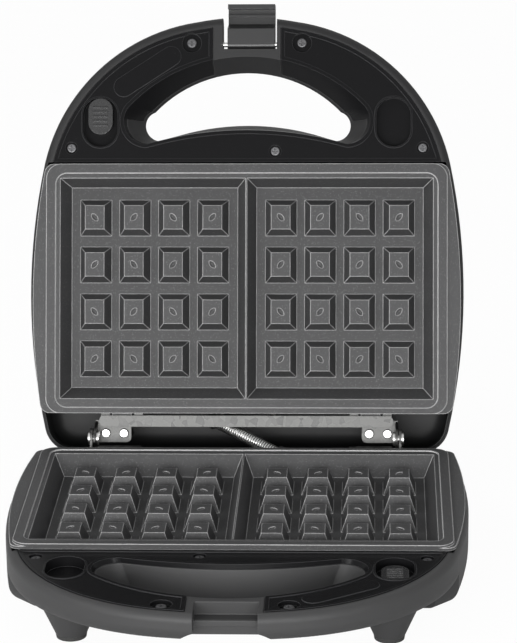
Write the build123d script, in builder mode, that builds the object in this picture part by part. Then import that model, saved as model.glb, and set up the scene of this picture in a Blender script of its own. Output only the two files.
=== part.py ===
from build123d import *
import os
from math import asin, atan2, cos, degrees, pi, radians, sin, sqrt

# Stand and hinge
parting_height = 42.4
plate_centre_y = -15.6
hinge_behind_plate = 93.0
opening_angle = 108.7
half_gap = 0.4

# Outline of each half, seen on its parting plane: u to the side, v to the front, w into the half
rear_v = -102.0
rear_half_width = 121.8
rear_corner_radius = 18.0
side_mid_v = -4.0
side_half_width = 134.5
arch_start_v = 77.0
arch_start_half_width = 126.2
arch_mid_v = 131.0
arch_mid_half_width = 97.6
arch_top_v = 165.8
arch_top_half_width = 30.0
arch_front_v = 168.6
arch_joint_radius = 30.0

# Shell
shell_wall = 2.4
rim_depth = 3.6
side_rim_depth = 3.8
handle_drop = 3.0
handle_depth = 24.5
handle_front_depth = 19.2
handle_edge_radius = 8.0
pan_depth = 38.0
pan_front_v = 86.0
pan_corner_start = 114.0
pan_edge_radius = 11.5
rim_edge_radius = 4.5
rear_opening_depth = 16.5
rear_opening_v = -85.0

# Hand hole: mouth at the parting plane, exit at the handle's back
mouth_front_v = 144.0
mouth_corner = (73.4, 112.5)
mouth_end = (76.4, 102.0)
mouth_heel = (62.0, 89.4)
mouth_rear_v = 98.0
exit_front_v = 133.6
exit_corner = (57.0, 110.5)
exit_end = (63.2, 99.0)
exit_heel = (54.0, 92.8)
exit_rear_v = 102.6
sleeve_wall = 2.4
sleeve_split_v = 105.0

# Latch place
nose_half_width = 21.0
nose_rear_v = 128.0
lid_notch_u = -1.8
lid_notch_half_width = 16.8
lid_notch_v = 148.5
base_recess_u = 0.7
base_recess_half_width = 17.4
base_recess_v = 148.0
base_recess_depth = 11.1
ledge_front_v = 158.6
ledge_bottom = 13.5
ledge_lip = (2.0, 1.0)
undercut_v = 153.6
undercut_half_width = 25.2
undercut_crest_half_width = 16.0
undercut_backing = (27.0, 150.0)
latch_pivot_v = 151.4
latch_pivot_depth = 7.3
latch_width = 29.4
latch_offset_u = -2.6
latch_length = 25.7
latch_front_reach = 13.6
latch_wall = 3.4
latch_hook_reach = 3.0
latch_barrel_radius = 2.8
latch_root_length = 9.9
latch_root_slope = 4.0
latch_hook_start = 22.8
latch_rib = (18.4, 20.2)
latch_rib_height = 1.2
latch_pin_radius = 1.5
latch_pin_clearance = 0.08
latch_pin_inset = 0.6
pin_seat_clearance = 0.02

# Handle trim
trim_inset = 5.6
trim_rear_v = 78.2
trim_top = 0.5
trim_thickness = 2.4
trim_border = 2.2
trim_gap = 0.3
rim_band_depth = 3.0

# Screws of the trims: places in u, v and the wells they sit in
side_screw = (109.0, 87.0)
middle_screw = (-17.7, 85.0)
front_screw = (34.2, 152.2)
small_well_radius = 3.7
large_well_radius = 6.0
well_depth = 2.6
well_wall = 1.4
screw_head_radius = 3.0
screw_head_height = 1.7
screw_shank_radius = 1.5
screw_length = 9.0
screw_clearance = 0.1
boss_radius = 3.6
head_rounding = 0.45
cross_depth = 0.6
cross_length = 1.2
cross_width = 0.26

# Release slider and the recesses
slider_u = 91.0
recess_v = 103.0
recess_radius = 10.8
recess_length = 30.5
recess_depth = 6.2
recess_wall = 1.2
recess_lip = 1.0
button_v = 106.8
button_radius = 7.6
button_length = 22.6
button_top = 1.2
button_gap = 0.4
button_ridge_pitch = 2.8
button_ridge_count = 5
button_ridge_width = 1.0
button_ridge_length = 9.1
button_ridge_height = 0.5
stem_width = 7.0
stem_length = 10.0
slider_travel = 5.0
slider_arm_width = 10.0
slider_arm_thickness = 1.8
slider_nose_v = 80.6
slider_nose_v_end = 85.0
slider_nose_depth = 5.2
slider_arm_depth = 8.0
slider_arm_end_v = 112.0
slider_shoulder_v = 97.6
slider_shoulder_drop = 5.4
slider_shoulder_thickness = 1.8
slider_shoulder_width = 7.0
spring_radius = 2.4
spring_wall = 0.8
spring_seat_v = 86.4
spring_seat_thickness = 1.6
spring_gap = 0.2

# Plate
plate_front_v = 77.0
plate_rear_v = -77.6
ear_front_half_width = 124.6
ear_mid_half_width = 132.6
ear_rear_half_width = 127.2
ear_front_corner_radius = 6.0
ear_rear_corner_radius = 6.0
ear_top = 1.6
flange_bottom = 3.4
bead_half_width = 124.2
bead_front_v = 77.0
bead_corner_radius = 9.0
bead_inner_half_width = 118.4
bead_inner_front_v = 71.2
bead_inner_rear_v = -74.0
land_top = 0.7
mouth_half_width = 115.5
pocket_front_v = 68.0
pocket_rear_v = -68.6
floor_half_width = 109.6
floor_front_v = 62.9
floor_rear_v = -62.0
floor_depth = 13.4
divider_half_width = 5.8
divider_crest_half_width = 0.5
plate_floor_thickness = 3.0
plate_wall = 2.6
stud_height = 10.0
stud_base = (19.5, 22.4)
stud_taper = 20.3
stud_pitch = (24.4, 29.3)
stud_count = 4
stud_group_spacing = 115.6
leaf_length = 6.2
leaf_half_width = 1.5
leaf_angle = 40.0
leaf_sink = 0.3
lug_u = 77.0
lug_width = 12.0
lug_radius = 1.3
lug_v = -80.5
lug_depth = 3.7
lug_neck_top = 2.6
lug_neck_bottom = 4.2
plate_tilt = 15.0

# Heat tray
tray_half_width = 119.8
tray_front_v = 73.0
tray_rear_v = -75.6
tray_sheet = 0.8
tray_floor = 28.0
tray_flange_depth = 3.8
tray_flange_half_width = 122.4
tray_flange_front_v = 76.0
tray_corner_radius = 5.0
strip_half_width = 91.0
strip_front_v = -79.0
strip_rear_v = -86.0
strip_top = 1.0
strip_thickness = 0.8
strip_corner_radius = 3.0
base_tab_width = 26.0
base_tab_rear_v = -83.6
lug_window = 15.0
skirt_thickness = 1.6
skirt_half_width = 116.0
skirt_depth = 14.0
skirt_window_clearance = 1.5

# Heater, thermostat, fuse
heater_radius = 3.3
heater_gap = 0.4
heater_half_width = 92.0
heater_half_depth = 46.0
heater_leg_u = 16.0
heater_bend_radius = 16.0
heater_end_v = -66.0
cold_pin_radius = 1.6
cold_pin_length = 18.0
pin_hole_clearance = 0.5
saddle_v = 20.0
saddle_width = 7.0
saddle_thickness = 12.0
saddle_clearance = 0.15
thermostat_radius = 8.0
thermostat_height = 6.5
thermostat_leg_radius = 3.0
thermostat_v = -14.0
thermostat_foot = (22.0, 10.0)
fuse_radius = 2.2
fuse_length = 16.0
fuse_u = 44.0

# Tray screws and posts
tray_post = (100.0, 58.0)
tray_post_radius = 4.5
tray_screw_head_radius = 3.2
tray_screw_head_height = 1.8
tray_screw_length = 5.0

# Hinges
bracket_inner_u = 71.6
lid_ear_u = 92.4
base_ear_u = 94.5
bracket_sheet = 1.5
bracket_front_v = -82.0
bracket_rear_v = -95.8
bracket_depth = 8.2
bracket_corner_radius = 3.0
ear_tip_radius = 6.0
hinge_pin_radius = 2.6
hinge_pin_clearance = 0.06
hinge_head_radius = 4.2
hinge_head_thickness = 1.4
hinge_head_gap = 0.15
bracket_screw_u = (76.2, 87.4)
bracket_screw_v = -90.2
base_bracket_rear_v = -92.4
base_bracket_screw_v = -87.4
bracket_head_radius = 2.9
bracket_head_height = 1.6
bracket_boss_radius = 3.7
bracket_screw_length = 7.0

# Feet
foot_u = 88.0
front_foot_v = 108.0
rear_foot_v = -80.0
front_foot_top_radius = 17.0
rear_foot_top_radius = 10.5
foot_bottom_radius = 8.8
foot_pad_thickness = 2.4
foot_pad_radius = 8.4

# Wire conduit, a coil of wire round the leads, from a clip in the lid to one in the base
conduit_radius = 3.75
conduit_wire_radius = 0.5
conduit_turns = 32
conduit_wire_end = 1.0
conduit_lid_end = (-21.0, 15.5, 6.2)
conduit_base_end = (22.0, -10.5, -6.9)
clip_thickness = 4.0
clip_wall = 1.2
clip_clearance = 0.3
clip_leg_radius = 2.0

# Cord gland, terminal block, indicators
gland_u = -40.0
gland_depth = 24.0
gland_radius = 4.6
gland_flange_radius = 6.8
gland_nut_radius = 5.8
gland_gap = 0.3
gland_bore_radius = 2.8
gland_length = 9.0
gland_flange_thickness = 2.0
terminal_size = (32.0, 13.0, 12.0)
terminal_u = 46.0
terminal_v = -84.0
terminal_screw_radius = 2.0
lens_u = 12.0
lens_v = 66.0
lens_radius = 3.0
lens_dome = 1.2
lens_rim_radius = 4.2
lens_flange = 1.0
lens_clearance = 0.05

# Label pad
pad_start = (47.0, 144.0)
pad_end = (76.5, 125.0)
pad_width = 12.4
pad_height = 0.4

turn = radians(opening_angle)
hinge_y = plate_centre_y + hinge_behind_plate
base_half = Plane(origin=(0, plate_centre_y, parting_height - half_gap), x_dir=(1, 0, 0), z_dir=(0, 0, -1))
lid_half = Plane(
    origin=(
        0,
        hinge_y - hinge_behind_plate * cos(turn) + half_gap * sin(turn),
        parting_height + hinge_behind_plate * sin(turn) + half_gap * cos(turn),
    ),
    x_dir=(-1, 0, 0),
    z_dir=(0, sin(turn), cos(turn)),
)
hinge_v = -hinge_behind_plate
hinge_w = -half_gap

# Reach of the cutting blocks, past every face of a half
far = 250.0
above = -5.0
below = 60.0
overlap = 0.2
everywhere = (-far, far)
beyond = (above, below)


def side_plane(half, u):
    # a plane across the half at u, with v to its right and w up
    return Plane(origin=half.from_local_coords((u, 0, 0)), x_dir=half.y_dir, z_dir=half.x_dir)


def front_plane(half, v):
    # a plane across the half at v, with u to its right and w up
    return Plane(origin=half.from_local_coords((0, v, 0)), x_dir=half.x_dir, z_dir=-half.y_dir)


def block(half, u_span, v_span, w_span):
    # a box between two values of u, of v and of w
    with BuildPart() as box:
        with BuildSketch(half.offset(w_span[0])):
            with Locations(((u_span[0] + u_span[1]) / 2, (v_span[0] + v_span[1]) / 2)):
                Rectangle(u_span[1] - u_span[0], v_span[1] - v_span[0])
        extrude(amount=w_span[1] - w_span[0])
    return box.part


def post(half, places, radius, w_span):
    # round posts along w
    with BuildPart() as posts:
        with BuildSketch(half.offset(w_span[0])):
            with Locations(*places):
                Circle(radius)
        extrude(amount=w_span[1] - w_span[0])
    return posts.part


def level_faces(part, half):
    # the flat faces square to w, from the shallowest to the deepest
    depth = Axis(half.origin, half.z_dir)
    return part.faces().filter_by(depth).sort_by(depth)


def sloping_face(part, half):
    # the largest flat face that is nearly, but not quite, square to w
    tilts = [(face, abs(face.normal_at().dot(half.z_dir))) for face in part.faces().filter_by(GeomType.PLANE)]
    return max((face for face, tilt in tilts if 0.98 < tilt < 0.9999), key=lambda face: face.area)


def body_outline(inset):
    with BuildSketch() as drawn:
        with BuildLine():
            ThreePointArc(
                (-arch_top_half_width, arch_top_v), (0, arch_front_v), (arch_top_half_width, arch_top_v)
            )
            arch = ThreePointArc(
                (arch_top_half_width, arch_top_v),
                (arch_mid_half_width, arch_mid_v),
                (arch_start_half_width, arch_start_v),
            )
            side = ThreePointArc(arch @ 1, (side_half_width, side_mid_v), (rear_half_width, rear_v))
            rear = Line(side @ 1, (0, rear_v))
            mirror([arch, side, rear], about=Plane.YZ)
        make_face()
        rear_row = drawn.vertices().group_by(Axis.Y)[0]
        fillet(rear_row.filter_by(lambda corner: abs(corner.X) > 1), rear_corner_radius)
        fillet(drawn.vertices().group_by(Axis.Y)[-1], arch_joint_radius)
        arch_starts = drawn.vertices().filter_by(lambda corner: abs(corner.Y - arch_start_v) < 1)
        fillet(arch_starts, arch_joint_radius)
        if inset:
            offset(amount=-inset)
    return drawn.sketch


def underside(v):
    # the depth of the handle's underside, which rises towards the arch's front
    share = (v - pan_front_v) / (arch_front_v - pan_front_v)
    return handle_depth + (handle_front_depth - handle_depth) * share


def below_underside(half, inset):
    with BuildPart() as made:
        with BuildSketch(side_plane(half, -far)):
            with BuildLine():
                Polyline(
                    (-far, underside(-far) - inset),
                    (far, underside(far) - inset),
                    (far, below),
                    (-far, below),
                    close=True,
                )
            make_face()
        extrude(amount=2 * far)
    return made.part


def before_pan(half, inset):
    # all that lies in front of the pan's front wall and its two cut corners
    corner_start = pan_corner_start - inset * (sqrt(2) - 1)
    step_v = pan_front_v - inset
    with BuildPart() as made:
        with BuildSketch(half.offset(above)):
            with BuildLine():
                Polyline(
                    (-corner_start, step_v),
                    (corner_start, step_v),
                    (far, step_v - far + corner_start),
                    (far, 2 * far),
                    (-far, 2 * far),
                    (-far, step_v - far + corner_start),
                    close=True,
                )
            make_face()
        extrude(amount=below - above)
    return made.part


def handle_form(half, inset):
    with BuildPart() as handle:
        with BuildSketch(half.offset(rim_depth)):
            add(body_outline(inset))
        extrude(amount=pan_depth)
        add(below_underside(half, inset), mode=Mode.SUBTRACT)
        fillet(sloping_face(handle.part, half).edges(), handle_edge_radius - inset)
        add(before_pan(half, inset), mode=Mode.INTERSECT)
    return handle.part


def shell_form(half, inset):
    # the outer form of a half, or with an inset the space inside its wall
    start = rim_depth if inset == 0 else -1.0
    band = handle_drop + rim_band_depth
    with BuildPart() as pan:
        with BuildSketch(half.offset(rim_depth)):
            add(body_outline(inset))
        extrude(amount=pan_depth - inset - rim_depth)
        add(before_pan(half, inset), mode=Mode.SUBTRACT)
        fillet(level_faces(pan.part, half)[-1].edges(), pan_edge_radius - inset)
    with BuildPart() as form:
        add(pan.part)
        add(handle_form(half, inset))
        if inset == 0:
            fillet(level_faces(form.part, half)[0].edges(), rim_edge_radius)
            add(block(half, everywhere, (-far, trim_rear_v), (above, side_rim_depth)), mode=Mode.SUBTRACT)
        else:
            with BuildSketch(half.offset(start)):
                add(body_outline(inset))
            extrude(amount=rim_depth - start)
            add(block(half, everywhere, (trim_rear_v, far), (above, band)), mode=Mode.SUBTRACT)
            with BuildSketch(half.offset(start)):
                add(trim_outline(-trim_gap, 0))
            extrude(amount=band + overlap / 2 - start)
    return form.part


def hole_outline(depth, grow):
    # the hand hole's outline at a depth below the handle's face, widened all round by grow
    share = depth / handle_thickness
    slant = grow * sqrt(0.5)

    def between(mouth, exit_):
        return mouth + (exit_ - mouth) * share

    front = between(mouth_front_v, exit_front_v) + grow
    corner_u = between(mouth_corner[0], exit_corner[0]) + slant
    corner_v = between(mouth_corner[1], exit_corner[1]) + slant
    corner = (corner_u, corner_v)
    end = (between(mouth_end[0], exit_end[0]) + grow, between(mouth_end[1], exit_end[1]))
    heel = (between(mouth_heel[0], exit_heel[0]), between(mouth_heel[1], exit_heel[1]) - grow)
    rear = between(mouth_rear_v, exit_rear_v) - grow
    with BuildSketch() as drawn:
        with BuildLine():
            ThreePointArc((-corner[0], corner[1]), (0, front), corner)
            cap = ThreePointArc(corner, end, heel)
            mirror([cap], about=Plane.YZ)
            ThreePointArc(heel, (0, rear), (-heel[0], heel[1]))
        make_face()
    return drawn.sketch


def hole_core(face, grow, w_span):
    with BuildPart() as core:
        with BuildSketch(face.offset(w_span[0])):
            add(hole_outline(w_span[0], grow))
        with BuildSketch(face.offset(w_span[1])):
            add(hole_outline(w_span[1], grow))
        loft(ruled=True)
    return core.part


def trim_outline(inset, clear_nose):
    # the front crescent, from behind the hand hole to the arch, open at the nose
    with BuildSketch() as drawn:
        add(body_outline(trim_inset + inset))
        with Locations((0, trim_rear_v + inset - far)):
            Rectangle(2 * far, 2 * far, mode=Mode.SUBTRACT)
        with Locations((0, nose_rear_v + far)):
            Rectangle(2 * (nose_half_width + clear_nose + inset), 2 * far, mode=Mode.SUBTRACT)
    return drawn.sketch


def obround(centre, radius, length):
    # a slot shape that runs along v
    with BuildSketch() as drawn:
        with Locations(centre):
            SlotOverall(length, 2 * radius, rotation=90)
    return drawn.sketch


small_wells = [side_screw, (-side_screw[0], side_screw[1]), middle_screw]
large_wells = [front_screw, (-front_screw[0], front_screw[1])]
screw_places = small_wells + large_wells
tray_posts = [(u, v) for u in (-tray_post[0], tray_post[0]) for v in (-tray_post[1], tray_post[1])]
feet = [
    (front_foot_v, front_foot_top_radius, handle_depth),
    (rear_foot_v, rear_foot_top_radius, pan_depth),
]
screw_floor = trim_top + well_depth
trim_bottom = trim_top + trim_thickness
handle_thickness = handle_depth - handle_drop
inner_pan = pan_depth - shell_wall
boss_root = 0.5
bracket_seat = bracket_depth + bracket_sheet
heater_depth = floor_depth + plate_floor_thickness + heater_gap + heater_radius
foot_bottom_depth = parting_height - half_gap - foot_pad_thickness
spring_depth = slider_arm_depth + slider_arm_thickness + slider_shoulder_drop / 2


def bracket_screws_v(name):
    return bracket_screw_v if name == "lid" else base_bracket_screw_v


def bracket_places(name):
    return [(side * u, bracket_screws_v(name)) for side in (-1, 1) for u in bracket_screw_u]


def tapered_post(half, place, top_radius, bottom_radius, w_span):
    with BuildPart() as made:
        for radius, depth in ((top_radius, w_span[0]), (bottom_radius, w_span[1])):
            with BuildSketch(half.offset(depth)):
                with Locations(place):
                    Circle(radius)
        loft(ruled=True)
    return made.part


def shell_sleeve(face):
    # the shell's share of the hand hole's wall: the side towards the plate
    with BuildPart() as sleeve:
        add(hole_core(face, sleeve_wall, (0, handle_thickness)))
        add(block(face, everywhere, (sleeve_split_v, far), beyond), mode=Mode.SUBTRACT)
        add(block(face, everywhere, everywhere, (above, trim_bottom + trim_gap)), mode=Mode.SUBTRACT)
    return sleeve.part


def handle_fittings(half, face, name, outer):
    # the nose, bosses, spring seat and hole wall, cut off where they meet the shell's outside
    seat_u = (slider_u - slider_shoulder_width / 2, slider_u + slider_shoulder_width / 2)
    seat_v = (spring_seat_v, spring_seat_v + spring_seat_thickness)
    seat_top = slider_arm_depth + slider_arm_thickness + button_gap
    with BuildPart() as inside:
        add(shell_sleeve(face))
        add(block(half, (-nose_half_width, nose_half_width), (nose_rear_v, far), beyond))
        add(post(face, screw_places, boss_radius, (screw_floor + well_wall, handle_thickness)))
        add(block(face, seat_u, seat_v, (seat_top, handle_thickness)))
        if name == "base":
            width, back_v = undercut_backing
            backing_u = (base_recess_u - width, base_recess_u + width)
            add(block(half, backing_u, (back_v, far), (base_recess_depth, below)))
        add(outer, mode=Mode.INTERSECT)
    return inside.part


def latch_seat(half):
    # what the latch's place takes out of the base: a recess open in front, and an undercut for its hook
    recess = (base_recess_u - base_recess_half_width, base_recess_u + base_recess_half_width)
    lip_thickness, lip_rise = ledge_lip
    lip_top = base_recess_depth - lip_rise
    with BuildPart() as made:
        add(block(half, recess, (base_recess_v, ledge_front_v - lip_thickness), (above, base_recess_depth)))
        add(block(half, recess, (base_recess_v, far), (above, lip_top)))
        add(block(half, recess, (ledge_front_v, far), beyond))
        with BuildSketch(front_plane(half, far)):
            with BuildLine():
                crest = (base_recess_u + undercut_crest_half_width, ledge_bottom)
                shoulder = (base_recess_u + 0.85 * undercut_half_width, ledge_bottom + 2.5)
                foot = (base_recess_u + undercut_half_width, handle_front_depth + 1)
                crest_left = (base_recess_u - undercut_crest_half_width, ledge_bottom)
                shoulder_left = (base_recess_u - 0.85 * undercut_half_width, ledge_bottom + 2.5)
                foot_left = (base_recess_u - undercut_half_width, handle_front_depth + 1)
                Line(crest_left, crest)
                ThreePointArc(crest, shoulder, foot)
                Polyline(foot, (foot[0], below), (foot_left[0], below), foot_left)
                ThreePointArc(foot_left, shoulder_left, crest_left)
            make_face()
        extrude(amount=far - undercut_v)
    return made.part


def shell(half, name):
    is_lid = name == "lid"
    face = half.offset(handle_drop)
    outer = shell_form(half, 0)
    with BuildPart() as made:
        add(outer)
        add(shell_form(half, shell_wall), mode=Mode.SUBTRACT)
        if not is_lid:
            rear_opening = block(half, everywhere, (-far, rear_opening_v), (above, rear_opening_depth))
            add(rear_opening, mode=Mode.SUBTRACT)
        add(handle_fittings(half, face, name, outer))
        add(post(half, tray_posts, tray_post_radius, (tray_floor + tray_sheet, inner_pan + boss_root)))
        add(post(half, bracket_places(name), bracket_boss_radius, (bracket_seat, inner_pan + boss_root)))
        add(hole_core(face, 0, (above, handle_thickness + 1)), mode=Mode.SUBTRACT)
        bore = screw_shank_radius + screw_clearance
        add(post(face, screw_places, bore, (0, screw_floor + screw_length + 1)), mode=Mode.SUBTRACT)
        tray_bore = (tray_floor, tray_floor + tray_screw_length + 1)
        add(post(half, tray_posts, bore, tray_bore), mode=Mode.SUBTRACT)
        bracket_bore = (bracket_depth, bracket_depth + bracket_screw_length + 1)
        add(post(half, bracket_places(name), bore, bracket_bore), mode=Mode.SUBTRACT)
        if is_lid:
            notch = (lid_notch_u - lid_notch_half_width, lid_notch_u + lid_notch_half_width)
            add(block(half, notch, (lid_notch_v, far), beyond), mode=Mode.SUBTRACT)
            with BuildSketch(side_plane(half, -nose_half_width - 1)):
                with Locations((latch_pivot_v, latch_pivot_depth)):
                    Circle(latch_pin_radius + pin_seat_clearance)
            extrude(amount=2 * nose_half_width + 2, mode=Mode.SUBTRACT)
            lens_bore = lens_radius + lens_clearance
            lens_places = [(-lens_u, lens_v), (lens_u, lens_v)]
            add(post(half, lens_places, lens_bore, (inner_pan - 1, pan_depth + 1)), mode=Mode.SUBTRACT)
        else:
            for foot_v, top_radius, root in feet:
                ends = (min(root, underside(foot_v)) - shell_wall, foot_bottom_depth)
                for foot in ((-foot_u, foot_v), (foot_u, foot_v)):
                    add(tapered_post(half, foot, top_radius, foot_bottom_radius, ends))
            add(latch_seat(half), mode=Mode.SUBTRACT)
            with BuildSketch(front_plane(half, rear_v + 2 * shell_wall)):
                with Locations((gland_u, gland_depth)):
                    Circle(gland_radius + screw_clearance)
            extrude(amount=3 * shell_wall, mode=Mode.SUBTRACT)
    return made


def trim(half):
    face = half.offset(handle_drop)
    nose_clear = trim_gap
    with BuildPart() as made:
        with BuildSketch(face.offset(trim_top)):
            add(trim_outline(0, nose_clear))
        extrude(amount=trim_thickness)
        with BuildSketch(face):
            add(trim_outline(0, nose_clear))
            add(trim_outline(trim_border, nose_clear), mode=Mode.SUBTRACT)
            add(hole_outline(0, trim_border))
            with Locations((0, mouth_front_v)):
                Rectangle(2 * (nose_half_width + nose_clear), 60, mode=Mode.SUBTRACT)
        extrude(amount=trim_top + overlap)
        with BuildSketch(face.offset(trim_bottom - overlap)):
            with Locations((0, trim_rear_v + skirt_thickness / 2)):
                Rectangle(2 * skirt_half_width, skirt_thickness)
        extrude(amount=skirt_depth - trim_bottom + overlap)
        add(front_sleeve(half, face))
        cup_bottom = recess_depth + recess_wall
        for side in (-1, 1):
            centre = (side * slider_u, recess_v)
            with BuildSketch(face):
                add(obround(centre, recess_radius + recess_lip, recess_length + 2 * recess_lip))
            extrude(amount=trim_top + overlap)
            with BuildSketch(face.offset(trim_bottom - overlap)):
                add(obround(centre, recess_radius + recess_wall, recess_length + 2 * recess_wall))
            extrude(amount=cup_bottom - trim_bottom + overlap)
        cup_span = (trim_bottom - overlap, screw_floor + well_wall)
        add(post(face, small_wells, small_well_radius + well_wall, cup_span))
        add(post(face, large_wells, large_well_radius + well_wall, cup_span))
        with BuildSketch(face.offset(trim_top - pad_height)):
            along = Vector(*pad_end) - Vector(*pad_start)
            slope = degrees(atan2(along.Y, along.X))
            with Locations((Vector(*pad_start) + Vector(*pad_end)) * 0.5):
                SlotCenterToCenter(along.length, pad_width, rotation=slope)
        extrude(amount=pad_height + overlap)
        add(hole_core(face, 0, (-1, handle_thickness + 1)), mode=Mode.SUBTRACT)
        for side in (-1, 1):
            with BuildSketch(face.offset(-1)):
                add(obround((side * slider_u, recess_v), recess_radius, recess_length))
            extrude(amount=recess_depth + 1, mode=Mode.SUBTRACT)
        add(post(face, small_wells, small_well_radius, (-1, screw_floor)), mode=Mode.SUBTRACT)
        add(post(face, large_wells, large_well_radius, (-1, screw_floor)), mode=Mode.SUBTRACT)
        bore = screw_shank_radius + screw_clearance
        add(post(face, screw_places, bore, (0, screw_floor + well_wall + 1)), mode=Mode.SUBTRACT)
        slot_v = (
            button_v - stem_length / 2 - slider_travel - button_gap,
            button_v + stem_length / 2 + button_gap,
        )
        slot_u = (slider_u - stem_width / 2 - button_gap, slider_u + stem_width / 2 + button_gap)
        add(block(face, slot_u, slot_v, (recess_depth - 1, cup_bottom + 1)), mode=Mode.SUBTRACT)
        half_window = slider_arm_width / 2 + skirt_window_clearance
        window_w = (slider_nose_depth - 1, slider_arm_depth + slider_arm_thickness + skirt_window_clearance)
        window_u = (slider_u - half_window, slider_u + half_window)
        window_v = (trim_rear_v - 1, trim_rear_v + skirt_thickness + 1)
        add(block(face, window_u, window_v, window_w), mode=Mode.SUBTRACT)
    return made


def front_sleeve(half, face):
    # the trim's share of the hand hole's wall: the side towards the arch, either side of the nose
    with BuildPart() as sleeve:
        add(hole_core(face, sleeve_wall, (trim_top, handle_thickness)))
        add(below_underside(half, shell_wall + trim_gap), mode=Mode.SUBTRACT)
        add(block(face, everywhere, (-far, sleeve_split_v + trim_gap), beyond), mode=Mode.SUBTRACT)
        nose_u = (-nose_half_width - trim_gap, nose_half_width + trim_gap)
        add(block(face, nose_u, everywhere, beyond), mode=Mode.SUBTRACT)
    return sleeve.part


def cross_screws(half, places, seat, head_radius, head_height, length):
    # pan-head screws with a crossed recess, heads standing up from their seat towards the viewer
    slot_depth = head_height * cross_depth
    slot = (head_radius * cross_length, head_radius * cross_width)
    with BuildPart() as made:
        add(post(half, places, head_radius, (seat - head_height, seat)))
        add(post(half, places, screw_shank_radius, (seat - 0.1, seat + length)))
        rims = made.edges().filter_by(GeomType.CIRCLE).group_by(Axis(half.origin, half.z_dir))[0]
        fillet(rims, head_height * head_rounding)
        with BuildSketch(half.offset(seat - head_height - 1)):
            with Locations(*places):
                Rectangle(slot[0], slot[1])
                Rectangle(slot[1], slot[0])
        extrude(amount=slot_depth + 1, mode=Mode.SUBTRACT)
    return made


def slider(face):
    arm_span = (slider_arm_depth, slider_arm_depth + slider_arm_thickness)
    arm_u = (slider_u - slider_arm_width / 2, slider_u + slider_arm_width / 2)
    with BuildPart() as made:
        with BuildSketch(face.offset(button_top)):
            add(obround((slider_u, button_v), button_radius, button_length))
        extrude(amount=recess_depth - button_gap - button_top)
        with BuildSketch(face.offset(button_top - button_ridge_height)):
            with Locations((slider_u, button_v)):
                with GridLocations(0, button_ridge_pitch, 1, button_ridge_count):
                    Rectangle(button_ridge_length, button_ridge_width)
        extrude(amount=button_ridge_height + overlap)
        with BuildSketch(face.offset(recess_depth - button_gap - overlap)):
            with Locations((slider_u, button_v)):
                Rectangle(stem_width, stem_length)
        extrude(amount=slider_arm_depth - recess_depth + button_gap + 2 * overlap)
        add(block(face, arm_u, (slider_nose_v, slider_arm_end_v), arm_span))
        add(block(face, arm_u, (slider_nose_v, slider_nose_v_end), (slider_nose_depth, arm_span[1])))
        shoulder_u = (slider_u - slider_shoulder_width / 2, slider_u + slider_shoulder_width / 2)
        shoulder_v = (slider_shoulder_v, slider_shoulder_v + slider_shoulder_thickness)
        shoulder_w = (arm_span[1] - overlap, arm_span[1] + slider_shoulder_drop)
        add(block(face, shoulder_u, shoulder_v, shoulder_w))
    return made


def release_spring(face):
    start = spring_seat_v + spring_seat_thickness + spring_gap
    length = slider_shoulder_v - spring_gap - start
    with BuildPart() as made:
        with BuildSketch(front_plane(face, start + length)):
            with Locations((slider_u, spring_depth)):
                Circle(spring_radius)
                Circle(spring_radius - spring_wall, mode=Mode.SUBTRACT)
        extrude(amount=length)
    return made


def rectangle_between(u_span, v_span, corner=0.0):
    with BuildSketch() as drawn:
        with Locations(((u_span[0] + u_span[1]) / 2, (v_span[0] + v_span[1]) / 2)):
            if corner:
                RectangleRounded(u_span[1] - u_span[0], v_span[1] - v_span[0], corner)
            else:
                Rectangle(u_span[1] - u_span[0], v_span[1] - v_span[0])
    return drawn.sketch


def ear_outline():
    # the plate's flange: straight in front and behind, bowed at both short ends
    with BuildSketch() as drawn:
        with BuildLine():
            front = Line((0, plate_front_v), (ear_front_half_width, plate_front_v))
            bow_middle = (ear_mid_half_width, side_mid_v)
            bow = ThreePointArc(front @ 1, bow_middle, (ear_rear_half_width, plate_rear_v))
            rear = Line(bow @ 1, (0, plate_rear_v))
            mirror([front, bow, rear], about=Plane.YZ)
        make_face()
        rows = drawn.vertices().group_by(Axis.Y)
        fillet(rows[-1].filter_by(lambda corner: abs(corner.X) > 1), ear_front_corner_radius)
        rows = drawn.vertices().group_by(Axis.Y)
        fillet(rows[0].filter_by(lambda corner: abs(corner.X) > 1), ear_rear_corner_radius)
    return drawn.sketch


def pocket(half, side):
    # one of the plate's two hollows, its four walls sloping down to the floor
    mouth_u = sorted((side * divider_crest_half_width, side * mouth_half_width))
    floor_u = sorted((side * divider_half_width, side * floor_half_width))
    with BuildPart() as made:
        with BuildSketch(half.offset(land_top)):
            add(rectangle_between(mouth_u, (pocket_rear_v, pocket_front_v)))
        with BuildSketch(half.offset(floor_depth)):
            add(rectangle_between(floor_u, (floor_rear_v, floor_front_v)))
        loft(ruled=True)
        add(block(half, mouth_u, (pocket_rear_v, pocket_front_v), (-1, land_top + 0.001)))
    return made.part


def studs(half):
    with BuildPart() as made:
        with BuildSketch(half.offset(floor_depth + overlap)):
            with GridLocations(stud_group_spacing, 0, 2, 1):
                with GridLocations(*stud_pitch, stud_count, stud_count):
                    Rectangle(*stud_base)
        extrude(amount=-stud_height - overlap, taper=stud_taper)
    return made.part


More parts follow.
